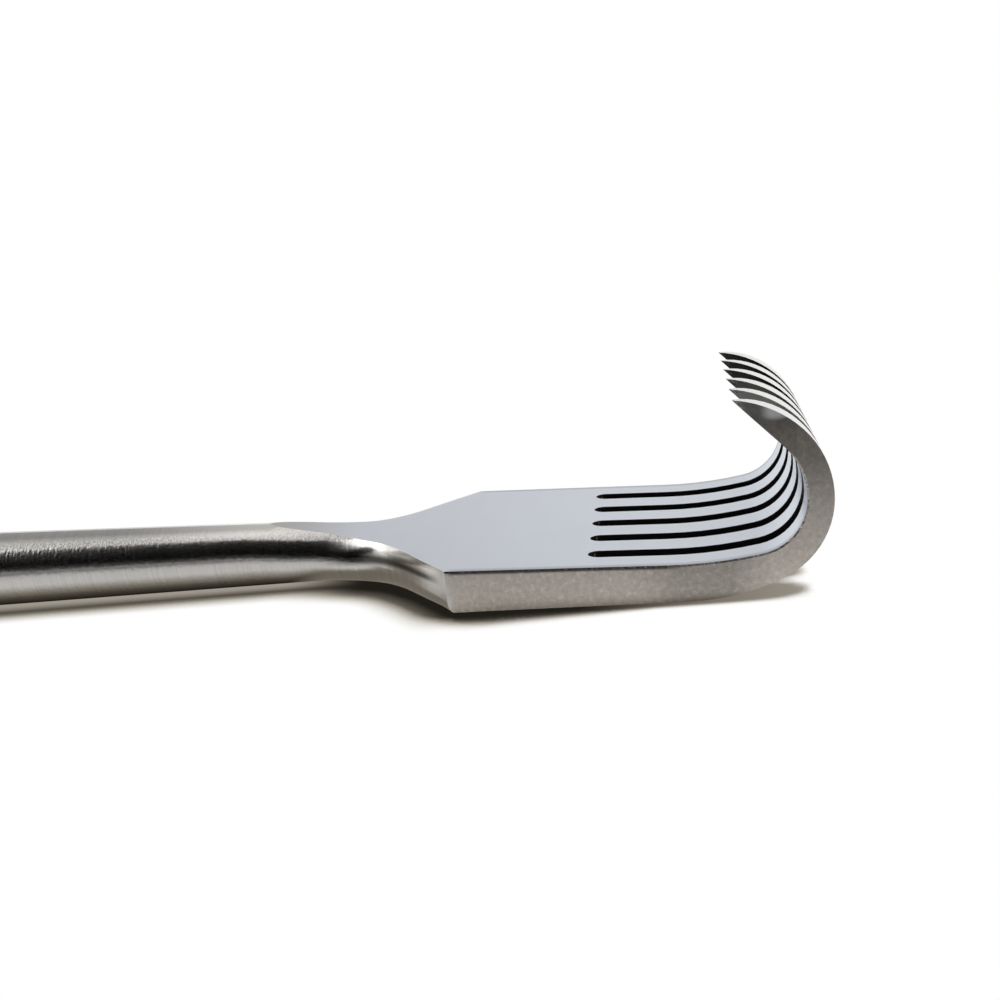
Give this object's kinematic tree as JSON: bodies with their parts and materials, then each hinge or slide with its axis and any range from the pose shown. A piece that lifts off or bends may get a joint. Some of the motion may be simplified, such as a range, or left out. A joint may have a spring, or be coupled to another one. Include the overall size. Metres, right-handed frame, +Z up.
{
  "type": "surgical rake retractor",
  "caption": "Rigid hand-held rake retractor: round tapered shank, flared plate sawn into hooked, pointed tines, and an open loop handle.",
  "frame": {"origin": "on the table under the middle of the instrument's box, as it lies on its back with the tines up", "axes": "+X along the instrument from the loop handle to the tines, +Z up, away from the table, with the tines pointing up and back; symmetric about the XZ plane"},
  "size_m": [0.2205, 0.032, 0.0172],
  "materials": {
    "head_steel": "satin ground stainless steel, brushed round the tail",
    "bar_steel": "stainless steel, brushed round the bar",
    "handle_steel": "satin stainless steel forging",
    "braze": "silver braze, ground flush"
  },
  "bodies": {
    "root": {"rake_head": "head_steel", "shank": "bar_steel", "head_braze": "braze", "handle_braze": "braze", "handle_loop": "handle_steel"}
  },
  "joints": []
}
